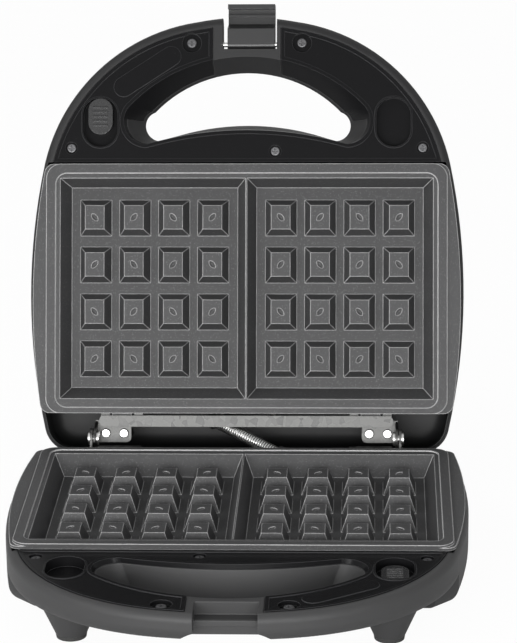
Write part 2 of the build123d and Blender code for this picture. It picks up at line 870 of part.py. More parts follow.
def leaf(half, place, angle):
    # a pointed oval dimple in a stud's top, turned by an angle
    swell = (leaf_length**2 / 4 - leaf_half_width**2) / (2 * leaf_half_width)
    top = half.offset(floor_depth - stud_height - leaf_sink)
    centre = top.from_local_coords((place[0], place[1], 0))
    along = (half.x_dir * cos(radians(angle))) + (half.y_dir * sin(radians(angle)))
    with BuildPart() as made:
        with BuildSketch(Plane(origin=centre, x_dir=along, z_dir=half.z_dir)):
            with BuildLine():
                tips = Line((-leaf_length / 2, 0), (leaf_length / 2, 0))
                ThreePointArc(tips @ 0, (0, leaf_half_width), tips @ 1)
            make_face()
        revolve(axis=Axis(centre, along), revolution_arc=360)
    return made.part


def plate(half):
    middle = (stud_count - 1) / 2
    with BuildPart() as made:
        with BuildSketch(half.offset(ear_top)):
            add(ear_outline())
        extrude(amount=flange_bottom - ear_top)
        bead_u = (-bead_half_width, bead_half_width)
        with BuildSketch(half):
            add(rectangle_between(bead_u, (plate_rear_v, bead_front_v), bead_corner_radius))
        extrude(amount=flange_bottom)
        groove_u = (-bead_inner_half_width, bead_inner_half_width)
        groove_v = (bead_inner_rear_v, bead_inner_front_v)
        with BuildSketch(half.offset(-1)):
            add(rectangle_between(groove_u, groove_v, bead_corner_radius - 2))
        extrude(amount=1 + land_top, mode=Mode.SUBTRACT)
        with BuildSketch(half.offset(flange_bottom - overlap)):
            pan_u = (-mouth_half_width - plate_wall, mouth_half_width + plate_wall)
            add(rectangle_between(pan_u, (pocket_rear_v - plate_wall, pocket_front_v + plate_wall)))
        with BuildSketch(half.offset(floor_depth + plate_floor_thickness)):
            base_u = (-floor_half_width - plate_wall, floor_half_width + plate_wall)
            add(rectangle_between(base_u, (floor_rear_v - plate_wall, floor_front_v + plate_wall)))
        loft(ruled=True)
        for side in (-1, 1):
            add(pocket(half, side), mode=Mode.SUBTRACT)
        add(studs(half))
        for side in (-1, 1):
            for column in range(stud_count):
                for row in range(stud_count):
                    u = side * stud_group_spacing / 2 + (column - middle) * stud_pitch[0]
                    v = (row - middle) * stud_pitch[1]
                    slant = leaf_angle if (column + row) % 2 else -leaf_angle
                    add(leaf(half, (u, v), 90 + slant), mode=Mode.SUBTRACT)
        for side in (-1, 1):
            neck_u = (side * lug_u - lug_width / 2, side * lug_u + lug_width / 2)
            neck_w = (lug_neck_top, lug_neck_bottom)
            add(block(half, neck_u, (lug_v, plate_rear_v + 1), neck_w))
            with BuildSketch(side_plane(half, neck_u[0])):
                with Locations((lug_v, lug_depth)):
                    Circle(lug_radius)
            extrude(amount=lug_width)
    return made


def heat_tray(half, name):
    is_lid = name == "lid"
    wall_u = (-tray_half_width, tray_half_width)
    inner_u = (-tray_half_width + tray_sheet, tray_half_width - tray_sheet)
    inner_v = (tray_rear_v + tray_sheet, tray_front_v - tray_sheet)
    flange_u = (-tray_flange_half_width, tray_flange_half_width)
    with BuildPart() as made:
        with BuildSketch(half.offset(tray_flange_depth)):
            add(rectangle_between(flange_u, (tray_rear_v, tray_flange_front_v), tray_corner_radius))
        extrude(amount=tray_sheet)
        with BuildSketch(half.offset(tray_flange_depth)):
            add(rectangle_between(wall_u, (tray_rear_v, tray_front_v), tray_corner_radius))
        extrude(amount=tray_floor + tray_sheet - tray_flange_depth)
        with BuildSketch(half.offset(tray_flange_depth - 1)):
            add(rectangle_between(inner_u, inner_v, tray_corner_radius - tray_sheet))
        extrude(amount=tray_floor - tray_flange_depth + 1, mode=Mode.SUBTRACT)
        riser_w = (strip_top, tray_flange_depth + tray_sheet)
        bridge_w = (tray_flange_depth, tray_flange_depth + tray_sheet)
        strip_w = (strip_top, strip_top + strip_thickness)
        for side in (-1, 1):
            for near in (-1, 1):
                edges = (side * lug_u + near * lug_window / 2, side * lug_u + near * base_tab_width / 2)
                riser_u = (min(edges), max(edges))
                add(block(half, riser_u, (strip_front_v - tray_sheet, tray_rear_v + overlap), bridge_w))
                add(block(half, riser_u, (strip_front_v - tray_sheet, strip_front_v), riser_w))
            if not is_lid:
                tab_u = (side * lug_u - base_tab_width / 2, side * lug_u + base_tab_width / 2)
                add(block(half, tab_u, (base_tab_rear_v, strip_front_v), strip_w))
        if is_lid:
            with BuildSketch(half.offset(strip_top)):
                strip_u = (-strip_half_width, strip_half_width)
                add(rectangle_between(strip_u, (strip_rear_v, strip_front_v), strip_corner_radius))
            extrude(amount=strip_thickness)
        bore = screw_shank_radius + screw_clearance
        add(post(half, tray_posts, bore, (tray_floor - 1, tray_floor + 2)), mode=Mode.SUBTRACT)
        with BuildSketch(front_plane(half, tray_rear_v + 2)):
            with Locations((-heater_leg_u, heater_depth), (heater_leg_u, heater_depth)):
                Circle(cold_pin_radius + pin_hole_clearance)
        extrude(amount=4, mode=Mode.SUBTRACT)
    return made


def heater(half):
    left = [
        (-heater_leg_u, heater_end_v),
        (-heater_leg_u, -heater_half_depth),
        (-heater_half_width, -heater_half_depth),
        (-heater_half_width, heater_half_depth),
    ]
    right = [(-u, v) for u, v in reversed(left)]
    with BuildPart() as made:
        with BuildLine(half.offset(heater_depth)) as route:
            FilletPolyline(*left, *right, radius=heater_bend_radius)
        with BuildSketch(Plane(origin=route.line @ 0, z_dir=route.line % 0)):
            Circle(heater_radius)
        sweep(path=route.line)
        with BuildSketch(front_plane(half, heater_end_v)):
            with Locations((-heater_leg_u, heater_depth), (heater_leg_u, heater_depth)):
                Circle(cold_pin_radius)
        extrude(amount=cold_pin_length)
    length = sum(edge.length for edge in route.edges())
    swept = pi * heater_radius**2 * length + 2 * pi * cold_pin_radius**2 * cold_pin_length
    print("heater volume over section times length", round(made.part.volume / swept, 4))
    return made


def heater_saddles(half):
    with BuildPart() as made:
        for side in (-1, 1):
            for end in (-1, 1):
                u_span = (side * heater_half_width - saddle_width, side * heater_half_width + saddle_width)
                v_span = (end * saddle_v - saddle_thickness / 2, end * saddle_v + saddle_thickness / 2)
                add(block(half, u_span, v_span, (heater_depth, tray_floor)))
        with BuildSketch(front_plane(half, heater_half_depth)):
            with Locations((-heater_half_width, heater_depth), (heater_half_width, heater_depth)):
                Circle(heater_radius + saddle_clearance)
        extrude(amount=2 * heater_half_depth, mode=Mode.SUBTRACT)
    return made


def thermostat(half):
    body_top = floor_depth + plate_floor_thickness + heater_gap
    with BuildPart() as made:
        add(post(half, [(0, thermostat_v)], thermostat_radius, (body_top, body_top + thermostat_height)))
        add(post(half, [(0, thermostat_v)], thermostat_leg_radius, (body_top + thermostat_height, tray_floor)))
        foot_u = (-thermostat_foot[0] / 2, thermostat_foot[0] / 2)
        foot_v = (thermostat_v - thermostat_foot[1] / 2, thermostat_v + thermostat_foot[1] / 2)
        add(block(half, foot_u, foot_v, (tray_floor - tray_sheet, tray_floor)))
    return made


def thermal_fuse(half):
    with BuildPart() as made:
        with BuildSketch(side_plane(half, fuse_u - fuse_length / 2)):
            with Locations((thermostat_v, tray_floor - 1 - fuse_radius)):
                Circle(fuse_radius)
        extrude(amount=fuse_length)
        clip_u = (fuse_u - fuse_radius, fuse_u + fuse_radius)
        clip_v = (thermostat_v - fuse_radius, thermostat_v + fuse_radius)
        add(block(half, clip_u, clip_v, (tray_floor - 1 - fuse_radius, tray_floor)))
    return made


def hinge_bracket(half, side, ear_u, back_v, screws_v):
    # a flat screwed to the shell, with an ear turned up round the hinge pin
    plate_u = sorted((side * bracket_inner_u, side * (ear_u + bracket_sheet)))
    ear_start = min(side * ear_u, side * (ear_u + bracket_sheet))
    with BuildPart() as made:
        with BuildSketch(half.offset(bracket_depth)):
            add(rectangle_between(plate_u, (back_v, bracket_front_v)))
            inner = Axis.X if side > 0 else -Axis.X
            fillet(vertices().group_by(inner)[0], bracket_corner_radius)
        extrude(amount=bracket_sheet)
        with BuildSketch(side_plane(half, ear_start)):
            with BuildLine():
                Polyline(
                    (bracket_front_v, bracket_seat),
                    (back_v, bracket_seat),
                    (hinge_v - ear_tip_radius, hinge_w),
                    (hinge_v + ear_tip_radius, hinge_w),
                    close=True,
                )
            make_face()
            with Locations((hinge_v, hinge_w)):
                Circle(ear_tip_radius)
        extrude(amount=bracket_sheet)
        gap = hinge_pin_clearance if ear_u == lid_ear_u else pin_seat_clearance
        with BuildSketch(side_plane(half, ear_start - 1)):
            with Locations((hinge_v, hinge_w)):
                Circle(hinge_pin_radius + gap)
        extrude(amount=bracket_sheet + 2, mode=Mode.SUBTRACT)
        places = [(side * u, screws_v) for u in bracket_screw_u]
        bore = screw_shank_radius + screw_clearance
        add(post(half, places, bore, (bracket_depth - 1, bracket_seat + 1)), mode=Mode.SUBTRACT)
    return made


def hinge_pin(half, side):
    inner_head = lid_ear_u - hinge_head_gap - hinge_head_thickness
    outer_head = base_ear_u + bracket_sheet
    spans = [
        (hinge_head_radius, inner_head, inner_head + hinge_head_thickness),
        (hinge_pin_radius, inner_head, outer_head + hinge_head_thickness),
        (hinge_head_radius, outer_head, outer_head + hinge_head_thickness),
    ]
    with BuildPart() as made:
        for radius, near, far in spans:
            with BuildSketch(side_plane(half, min(side * near, side * far))):
                with Locations((hinge_v, hinge_w)):
                    Circle(radius)
            extrude(amount=far - near)
    return made


def latch(half):
    # drawn in the flipped-out position: the hook's arm runs along v, its front wall lies deep in w
    start_u = latch_offset_u - latch_width / 2
    front_w = latch_pivot_depth + latch_front_reach
    arm_w = front_w - latch_wall
    root_v = latch_pivot_v + latch_root_length
    tip_v = latch_pivot_v + latch_length
    near_w = latch_pivot_depth - latch_barrel_radius
    near_v = latch_pivot_v - latch_barrel_radius
    with BuildPart() as made:
        with BuildSketch(side_plane(half, start_u)):
            with BuildLine():
                Polyline(
                    (latch_pivot_v, near_w),
                    (root_v, near_w),
                    (root_v + latch_root_slope, arm_w),
                    (latch_pivot_v + latch_rib[0], arm_w),
                    (latch_pivot_v + latch_rib[0], arm_w - latch_rib_height),
                    (latch_pivot_v + latch_rib[1], arm_w - latch_rib_height),
                    (latch_pivot_v + latch_rib[1], arm_w),
                    (latch_pivot_v + latch_hook_start, arm_w),
                    (latch_pivot_v + latch_hook_start, latch_pivot_depth + latch_hook_reach),
                    (tip_v, latch_pivot_depth + latch_hook_reach),
                    (tip_v, front_w),
                    (near_v, front_w),
                    (near_v, latch_pivot_depth),
                )
                slant = latch_barrel_radius * sqrt(0.5)
                ThreePointArc(
                    (near_v, latch_pivot_depth),
                    (latch_pivot_v - slant, latch_pivot_depth - slant),
                    (latch_pivot_v, near_w),
                )
            make_face()
        extrude(amount=latch_width)
        with BuildSketch(side_plane(half, start_u - 1)):
            with Locations((latch_pivot_v, latch_pivot_depth)):
                Circle(latch_pin_radius + latch_pin_clearance)
        extrude(amount=latch_width + 2, mode=Mode.SUBTRACT)
    return made


def latch_pin(half):
    reach = nose_half_width - latch_pin_inset
    with BuildPart() as made:
        with BuildSketch(side_plane(half, -reach)):
            with Locations((latch_pivot_v, latch_pivot_depth)):
                Circle(latch_pin_radius)
        extrude(amount=2 * reach)
    return made


def foot_pads(half):
    with BuildPart() as made:
        for foot_v, top_radius, root in feet:
            ends = (foot_bottom_depth, parting_height - half_gap)
            for foot in ((-foot_u, foot_v), (foot_u, foot_v)):
                add(tapered_post(half, foot, foot_bottom_radius, foot_pad_radius, ends))
    return made


def cord_gland(half):
    # a flanged tube through the rear wall, with its nut inside
    nut_v = rear_v + shell_wall + gland_gap
    inner_end = nut_v + gland_flange_thickness
    spans = [
        (gland_radius, inner_end, rear_v - gland_length),
        (gland_nut_radius, inner_end, nut_v),
        (gland_flange_radius, rear_v, rear_v - gland_flange_thickness),
    ]
    with BuildPart() as made:
        for radius, front, back in spans:
            with BuildSketch(front_plane(half, front)):
                with Locations((gland_u, gland_depth)):
                    Circle(radius)
            extrude(amount=front - back)
        with BuildSketch(front_plane(half, inner_end + 1)):
            with Locations((gland_u, gland_depth)):
                Circle(gland_bore_radius)
        extrude(amount=far, mode=Mode.SUBTRACT)
    return made


def terminal_block(half):
    length, depth, height = terminal_size
    u_span = (terminal_u - length / 2, terminal_u + length / 2)
    v_span = (terminal_v - depth / 2, terminal_v + depth / 2)
    places = [(terminal_u + share * length, terminal_v) for share in (-1 / 3, 0, 1 / 3)]
    well = (inner_pan - height - 1, inner_pan - height / 2)
    with BuildPart() as made:
        add(block(half, u_span, v_span, (inner_pan - height, inner_pan)))
        add(post(half, places, terminal_screw_radius, well), mode=Mode.SUBTRACT)
    return made


def lens(half, u):
    # an indicator's lens: a flange inside the shell, a stem through it and a low dome outside
    flange_top = inner_pan - lens_flange
    dome_radius = (lens_radius**2 + lens_dome**2) / (2 * lens_dome)
    dome_centre = pan_depth + lens_dome - dome_radius
    half_angle = asin(lens_radius / dome_radius) / 2
    across = front_plane(half, lens_v)
    middle = across.from_local_coords((u, 0, 0))
    with BuildPart() as made:
        with BuildSketch(Plane(origin=middle, x_dir=across.x_dir, z_dir=across.z_dir)):
            with BuildLine():
                foot = Polyline(
                    (0, pan_depth + lens_dome),
                    (0, flange_top),
                    (lens_rim_radius, flange_top),
                    (lens_rim_radius, inner_pan),
                    (lens_radius, inner_pan),
                    (lens_radius, pan_depth),
                )
                crest = (dome_radius * sin(half_angle), dome_centre + dome_radius * cos(half_angle))
                ThreePointArc(foot @ 1, crest, foot @ 0)
            make_face()
        revolve(axis=Axis(half.from_local_coords((u, lens_v, 0)), half.z_dir), revolution_arc=360)
    return made


def ends_of_conduit():
    lid_end = Vector(conduit_lid_end[0], hinge_y + conduit_lid_end[1], parting_height + conduit_lid_end[2])
    base_end = Vector(conduit_base_end[0], hinge_y + conduit_base_end[1], parting_height + conduit_base_end[2])
    return lid_end, base_end


def coil_path(start, axis, across, radius, pitch, turns):
    # three-dimensional arcs, two to each quarter turn, whose tangents meet
    other = axis.cross(across)

    def at(step):
        angle = step * pi / 2
        return start + across * (radius * cos(angle)) + other * (radius * sin(angle)) + axis * (pitch * step / 4)

    def heading(step):
        angle = step * pi / 2
        swing = across * (-radius * sin(angle)) + other * (radius * cos(angle))
        return (swing + axis * (pitch / (2 * pi))).normalized()

    last = 4 * turns
    Line(at(0) - heading(0) * conduit_wire_end, at(0))
    for step in range(last):
        near, next_point = at(step), at(step + 1)
        into, out_of = heading(step), heading(step + 1)
        span = next_point - near
        # equal reach along both tangents gives the point where the two arcs of a pair meet
        a = 2 * (1 - into.dot(out_of))
        b = 2 * span.dot(into + out_of)
        reach = (sqrt(b * b + 4 * a * span.dot(span)) - b) / (2 * a)
        middle = (near + into * reach + next_point - out_of * reach) * 0.5
        TangentArc(near, middle, tangent=into)
        TangentArc(middle, next_point, tangent=middle - near - into * reach)
    Line(at(last), at(last) + heading(last) * conduit_wire_end)


def least_gap(edges, samples, points_in_turn):
    # between points of the coil at least half a turn apart, less the wire's own thickness
    points = [edge @ (step / samples) for edge in edges for step in range(samples)]
    near = points_in_turn // 2
    spans = [
        (points[i] - points[j]).length
        for i in range(len(points))
        for j in range(i + near, min(i + 3 * near, len(points)))
    ]
    return min(spans) - 2 * conduit_wire_radius


def wire_conduit():
    lid_end, base_end = ends_of_conduit()
    along = base_end - lid_end
    axis = along.normalized()
    across = Vector(0, 0, 1).cross(axis).normalized()
    pitch = along.length / conduit_turns
    coil_radius = conduit_radius - conduit_wire_radius
    with BuildPart() as made:
        with BuildLine() as route:
            coil_path(lid_end, axis, across, coil_radius, pitch, conduit_turns)
        with BuildSketch(Plane(origin=route.line @ 0, z_dir=route.line % 0)):
            Circle(conduit_wire_radius)
        sweep(path=route.line)
    edges = route.edges()
    drawn = pi * conduit_wire_radius**2 * sum(edge.length for edge in edges)
    print("conduit volume over section times length", round(made.part.volume / drawn, 4))
    print("least gap between turns", round(least_gap(edges, 4, 32), 3))
    return made


def conduit_clip(half, place, towards):
    # a ring round the conduit's end, on a leg that stands on the half's floor
    foot = half.to_local_coords(place)
    hole = conduit_radius + clip_clearance
    with BuildPart() as made:
        with BuildSketch(Plane(origin=place - towards * (clip_thickness / 2), z_dir=towards)):
            Circle(hole + clip_wall)
        extrude(amount=clip_thickness)
        add(post(half, [(foot.X, foot.Y)], clip_leg_radius, (foot.Z, inner_pan)))
        with BuildSketch(Plane(origin=place - towards * clip_thickness, z_dir=towards)):
            Circle(hole)
        extrude(amount=2 * clip_thickness, mode=Mode.SUBTRACT)
    return made


os.makedirs("parts", exist_ok=True)
pieces = {}
for name, half in (("base", base_half), ("lid", lid_half)):
    is_lid = name == "lid"
    face = half.offset(handle_drop)
    pieces[f"{name}_shell"] = shell(half, name)
    pieces[f"{name}_handle_trim"] = trim(half)
    pieces[f"{name}_release_slider"] = slider(face)
    pieces[f"{name}_release_spring"] = release_spring(face)
    pieces[f"{name}_plate"] = plate(half)
    pieces[f"{name}_heat_tray"] = heat_tray(half, name)
    pieces[f"{name}_heater"] = heater(half)
    pieces[f"{name}_heater_saddles"] = heater_saddles(half)
    pieces[f"{name}_thermostat"] = thermostat(half)
    pieces[f"{name}_trim_screws"] = cross_screws(
        face, screw_places, screw_floor, screw_head_radius, screw_head_height, screw_length
    )
    pieces[f"{name}_tray_screws"] = cross_screws(
        half, tray_posts, tray_floor, tray_screw_head_radius, tray_screw_head_height, tray_screw_length
    )
    pieces[f"{name}_bracket_screws"] = cross_screws(
        half, bracket_places(name), bracket_depth, bracket_head_radius, bracket_head_height, bracket_screw_length
    )
    ear_u = lid_ear_u if is_lid else base_ear_u
    back_v = bracket_rear_v if is_lid else base_bracket_rear_v
    for hand, side in (("left", -1), ("right", 1)):
        facing = -side if is_lid else side
        bracket = hinge_bracket(half, facing, ear_u, back_v, bracket_screws_v(name))
        pieces[f"{name}_hinge_bracket_{hand}"] = bracket
for hand, side in (("left", -1), ("right", 1)):
    pieces[f"hinge_pin_{hand}"] = hinge_pin(base_half, side)
pieces["base_thermal_fuse"] = thermal_fuse(base_half)
pieces["latch"] = latch(lid_half)
pieces["latch_pin"] = latch_pin(lid_half)
pieces["foot_pads"] = foot_pads(base_half)
pieces["cord_gland"] = cord_gland(base_half)
pieces["terminal_block"] = terminal_block(base_half)
for hand, u in (("left", lens_u), ("right", -lens_u)):
    pieces[f"indicator_lens_{hand}"] = lens(lid_half, u)
lid_end, base_end = ends_of_conduit()
towards = (base_end - lid_end).normalized()
pieces["wire_conduit"] = wire_conduit()
pieces["lid_conduit_clip"] = conduit_clip(lid_half, lid_end, towards)
pieces["base_conduit_clip"] = conduit_clip(base_half, base_end, towards)
for name, made in pieces.items():
    made.part.label = name
    export_step(made.part, f"parts/{name}.step")
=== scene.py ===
import math

import bpy
import numpy as np
from mathutils import Matrix, Vector


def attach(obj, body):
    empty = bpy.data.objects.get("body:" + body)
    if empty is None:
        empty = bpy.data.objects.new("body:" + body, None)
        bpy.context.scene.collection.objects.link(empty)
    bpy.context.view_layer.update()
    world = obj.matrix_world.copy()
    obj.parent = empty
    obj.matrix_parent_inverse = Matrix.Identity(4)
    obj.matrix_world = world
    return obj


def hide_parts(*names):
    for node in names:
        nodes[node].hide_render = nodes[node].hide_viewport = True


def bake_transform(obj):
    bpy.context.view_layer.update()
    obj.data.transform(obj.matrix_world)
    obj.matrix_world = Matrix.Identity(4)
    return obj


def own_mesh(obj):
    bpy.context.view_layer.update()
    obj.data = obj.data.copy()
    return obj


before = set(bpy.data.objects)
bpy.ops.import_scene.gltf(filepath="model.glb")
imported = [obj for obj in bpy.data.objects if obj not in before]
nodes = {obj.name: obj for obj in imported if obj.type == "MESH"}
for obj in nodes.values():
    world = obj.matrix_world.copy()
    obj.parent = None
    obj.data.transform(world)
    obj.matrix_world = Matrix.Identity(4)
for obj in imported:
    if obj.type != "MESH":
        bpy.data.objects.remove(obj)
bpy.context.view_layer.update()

print("frame loaded:", len(nodes), "nodes")

# the camera that took the picture, found from the plates' and studs' corners
camera = {
    "azimuth": 2.593, "elevation": 17.827, "roll": -0.718,
    "distance": 1.5831, "aim": (0.01301, -0.0156, 0.14824),
    "pixels": 2759.7, "frameHeight": 643, "sensor": 36.0, "farthest": 20,
}


def makeCamera(c):
    az, el, roll = (math.radians(c[k]) for k in ("azimuth", "elevation", "roll"))
    away = Vector((math.sin(az) * math.cos(el), -math.cos(az) * math.cos(el), math.sin(el)))
    right = (-away).cross(Vector((0, 0, 1))).normalized()
    up = right.cross(-away)
    turnedRight = right * math.cos(roll) + up * math.sin(roll)
    turnedUp = up * math.cos(roll) - right * math.sin(roll)
    data = bpy.data.cameras.new("camera")
    data.sensor_fit = "VERTICAL"
    data.sensor_height = c["sensor"]
    data.lens = c["pixels"] * c["sensor"] / c["frameHeight"]
    data.clip_end = c["farthest"]
    obj = bpy.data.objects.new("camera", data)
    bpy.context.scene.collection.objects.link(obj)
    turn = Matrix((turnedRight, turnedUp, away)).transposed()
    obj.matrix_world = Matrix.Translation(Vector(c["aim"]) + away * c["distance"]) @ turn.to_4x4()
    bpy.context.scene.camera = obj
    bpy.context.scene.view_settings.view_transform = "Standard"


makeCamera(camera)
print("camera set")


# shader maths: a wrapped socket, so that masks and noises can be written as sums
class Wire:
    def __init__(self, finish, socket):
        self.finish = finish
        self.socket = socket

    def maths(self, operation, a, b=None):
        values = {0: a} if b is None else {0: a, 1: b}
        return self.finish.node("ShaderNodeMath", {"operation": operation}, values)

    def __add__(self, other):
        return self.maths("ADD", self, other)

    def __radd__(self, other):
        return self.maths("ADD", other, self)

    def __sub__(self, other):
        return self.maths("SUBTRACT", self, other)

    def __rsub__(self, other):
        return self.maths("SUBTRACT", other, self)

    def __mul__(self, other):
        return self.maths("MULTIPLY", self, other)

    def __rmul__(self, other):
        return self.maths("MULTIPLY", other, self)

    def __gt__(self, other):
        return self.maths("GREATER_THAN", self, other)

    def clamped(self):
        return self.finish.node("ShaderNodeMath", {"operation": "ADD", "use_clamp": True}, {0: self, 1: 0.0})


class Finish:
    def __init__(self, name):
        self.material = bpy.data.materials.new(name)
        self.material.use_nodes = True
        self.tree = self.material.node_tree
        self.tree.nodes.clear()
        self.output = self.tree.nodes.new("ShaderNodeOutputMaterial")

    def node(self, kind, settings=None, values=None, out=0):
        made = self.tree.nodes.new(kind)
        for key, value in (settings or {}).items():
            if key == "stops":
                ramp = made.color_ramp.elements
                while len(ramp) < len(value):
                    ramp.new(0.5)
                for element, (place, shade) in zip(ramp, value):
                    element.position = place
                    element.color = (*shade, 1) if len(shade) == 3 else shade
            else:
                setattr(made, key, value)
        for key, value in (values or {}).items():
            self.feed(made.inputs[key], value)
        return Wire(self, made.outputs[out])

    def feed(self, socket, value):
        if isinstance(value, Wire):
            self.tree.links.new(value.socket, socket)
        elif isinstance(value, tuple) and len(value) == 3 and socket.type == "RGBA":
            socket.default_value = (*value, 1)
        else:
            socket.default_value = value

    def place(self, stretch=None):
        spot = self.node("ShaderNodeTexCoord", out=3)
        if stretch is None:
            return spot
        return self.node("ShaderNodeMapping", None, {0: spot, 3: stretch})

    def noise(self, scale, detail=2.0, roughness=0.5, at=None):
        values = {"Vector": at or self.place(), "Scale": scale, "Detail": detail, "Roughness": roughness}
        return self.node("ShaderNodeTexNoise", None, values)

    def cells(self, scale, out=0, at=None):
        values = {"Vector": at or self.place(), "Scale": scale}
        return self.node("ShaderNodeTexVoronoi", {"feature": "F1"}, values, out)

    def blendColours(self, share, a, b):
        return self.node("ShaderNodeMix", {"data_type": "RGBA"}, {0: share, 6: a, 7: b}, out=2)

    def ramp(self, share, stops):
        return self.node("ShaderNodeValToRGB", {"stops": stops}, {0: share})

    def bump(self, height, distance, strength=1.0, normal=None):
        values = {"Height": height, "Distance": distance, "Strength": strength}
        if normal is not None:
            values["Normal"] = normal
        return self.node("ShaderNodeBump", None, values)

    def rounded(self, radius):
        # the normal of an edge eased over a small radius
        return self.node("ShaderNodeBevel", {"samples": 6}, {"Radius": radius})

    def edges(self, radius, gain):
        # how far the eased normal leans away from the flat one: 0 on a face, towards 1 at an edge
        flat = self.node("ShaderNodeNewGeometry", out=1)
        values = {0: self.rounded(radius), 1: flat}
        lean = self.node("ShaderNodeVectorMath", {"operation": "DOT_PRODUCT"}, values, out=1)
        return ((1.0 - lean) * gain).clamped()

    def surface(self, **values):
        shader = self.node("ShaderNodeBsdfPrincipled", None, values)
        self.tree.links.new(shader.socket, self.output.inputs["Surface"])
        return self.material


# colours are linear, grain and spangle are scales per metre, and edge is in metres the width of a rounded edge
# and of the painted highlight that lightens the colour along it
# each shell's edge colour is a painted highlight, blended in along its rounded edges
baseShellLook = {"colour": (0.031, 0.031, 0.0315), "edgeHighlight": (0.15, 0.15, 0.152), "grain": 2600, "edge": 0.0009}
lidShellLook = {"colour": (0.011, 0.011, 0.0115), "edgeHighlight": (0.22, 0.22, 0.22), "grain": 2600, "edge": 0.0006}
# the trim's edge colour is a painted highlight, blended in along its rounded edges
trimLook = {
    "colour": (0.0075, 0.0075, 0.008), "rimHighlight": (0.12, 0.12, 0.125),
    "grain": 900, "edge": 0.0005, "shine": 0.06,
}
# the plate's edge colour is a painted highlight, blended in along its rounded edges in patches
plateLook = {
    "colour": (0.046, 0.046, 0.047), "fleck": (0.3, 0.3, 0.3), "edgeHighlight": (0.62, 0.62, 0.62), "edge": 0.0009,
}
zincLook = {"pale": (0.13, 0.13, 0.127), "dull": (0.03, 0.03, 0.03), "spangle": 240}


def shellPlastic(name, c):
    f = Finish(name)
    grain = f.noise(c["grain"], 3.0, 0.6)
    cloud = f.noise(14, 3.0, 0.55)
    tone = f.blendColours(cloud, tuple(v * 0.93 for v in c["colour"]), tuple(v * 1.08 for v in c["colour"]))
    # painted highlight: the colour lightens towards a paler grey along edges, where rounded edges would catch the
    # lamps
    edgeHighlight = f.edges(c["edge"], 1.6)
    tone = f.blendColours(edgeHighlight * 0.4, tone, c["edgeHighlight"])
    normal = f.bump(grain, 0.00006, 0.5, f.rounded(c["edge"]))
    rough = 0.46 + grain * 0.1 + cloud * 0.05
    return f.surface(**{"Base Color": tone, "Roughness": rough, "Normal": normal, "Specular IOR Level": 0.3})


def glossTrim(c):
    f = Finish("glossTrim")
    ripple = f.noise(60, 2.0, 0.4)
    dust = f.noise(c["grain"], 4.0, 0.7)
    specks = (dust > 0.71) * 0.5
    tone = f.blendColours(specks, c["colour"], (0.06, 0.06, 0.06))
    # painted highlight: the colour lightens along the trim's edges, where glossy rounded edges would catch the
    # lamps
    rimHighlight = f.edges(c["edge"], 2.4)
    tone = f.blendColours(rimHighlight * 0.7, tone, c["rimHighlight"])
    normal = f.bump(ripple, 0.00008, 0.35, f.rounded(c["edge"]))
    rough = 0.17 + dust * 0.08 + specks * 0.2
    values = {"Base Color": tone, "Roughness": rough, "Normal": normal, "Specular IOR Level": c["shine"]}
    return f.surface(**values)


def plateCoat(c):
    f = Finish("plateCoat")
    fine = f.noise(2400, 3.0, 0.65)
    flecks = f.cells(1500, out=0)
    shine = ((0.30 - flecks) * 4.0).clamped() * (f.noise(700, 2.0, 0.5) > 0.52)
    cloud = f.noise(22, 4.0, 0.6)
    tone = f.blendColours(cloud, tuple(v * 0.85 for v in c["colour"]), tuple(v * 1.2 for v in c["colour"]))
    tone = f.blendColours(shine * 0.7, tone, c["fleck"])
    # painted highlight: the colour lightens in patches along the plate's edges, where rounded edges would catch
    # the lamps
    edgeHighlight = f.edges(c["edge"], 5.0) * (0.7 + f.noise(90, 3.0, 0.6) * 0.5)
    tone = f.blendColours(edgeHighlight.clamped(), tone, c["edgeHighlight"])
    normal = f.bump(fine, 0.00005, 0.6, f.rounded(c["edge"]))
    rough = 0.40 + fine * 0.14 - shine * 0.12
    return f.surface(**{"Base Color": tone, "Roughness": rough, "Normal": normal, "Specular IOR Level": 0.22})


def zincSheet(c):
    f = Finish("zincSheet")
    spot = f.place()
    crystals = f.cells(c["spangle"], out=1, at=spot)
    grey = f.node("ShaderNodeSeparateColor", None, {0: crystals})
    feather = f.noise(900, 4.0, 0.7)
    share = (grey * 0.75 + feather * 0.35).clamped()
    tone = f.blendColours(share, c["dull"], c["pale"])
    rough = 0.30 + grey * 0.2 + feather * 0.1
    normal = f.bump(feather, 0.00004, 0.4, f.rounded(0.0002))
    return f.surface(**{"Base Color": tone, "Metallic": 1.0, "Roughness": rough, "Normal": normal})


def brightSteel():
    f = Finish("brightSteel")
    lines = f.noise(1, 3.0, 0.6, at=f.place((3000, 3000, 300)))
    tone = f.blendColours(lines, (0.50, 0.50, 0.49), (0.72, 0.72, 0.71))
    normal = f.bump(lines, 0.00003, 0.3, f.rounded(0.0002))
    rough = 0.24 + lines * 0.16
    return f.surface(**{"Base Color": tone, "Metallic": 1.0, "Roughness": rough, "Normal": normal})


def blackScrews():
    f = Finish("blackScrews")
    mottle = f.noise(1500, 3.0, 0.6)
    tone = f.blendColours(mottle, (0.05, 0.05, 0.052), (0.14, 0.14, 0.145))
    normal = f.bump(mottle, 0.00002, 0.3, f.rounded(0.0003))
    rough = 0.26 + mottle * 0.14
    return f.surface(**{"Base Color": tone, "Metallic": 0.7, "Roughness": rough, "Normal": normal})


def satinBlack(name, tone, rough):
    f = Finish(name)
    grain = f.noise(2200, 3.0, 0.6)
    shade = f.blendColours(grain, tuple(v * 0.8 for v in tone), tuple(v * 1.25 for v in tone))
    normal = f.bump(grain, 0.00005, 0.45, f.rounded(0.0005))
    return f.surface(**{"Base Color": shade, "Roughness": rough + grain * 0.1, "Normal": normal})


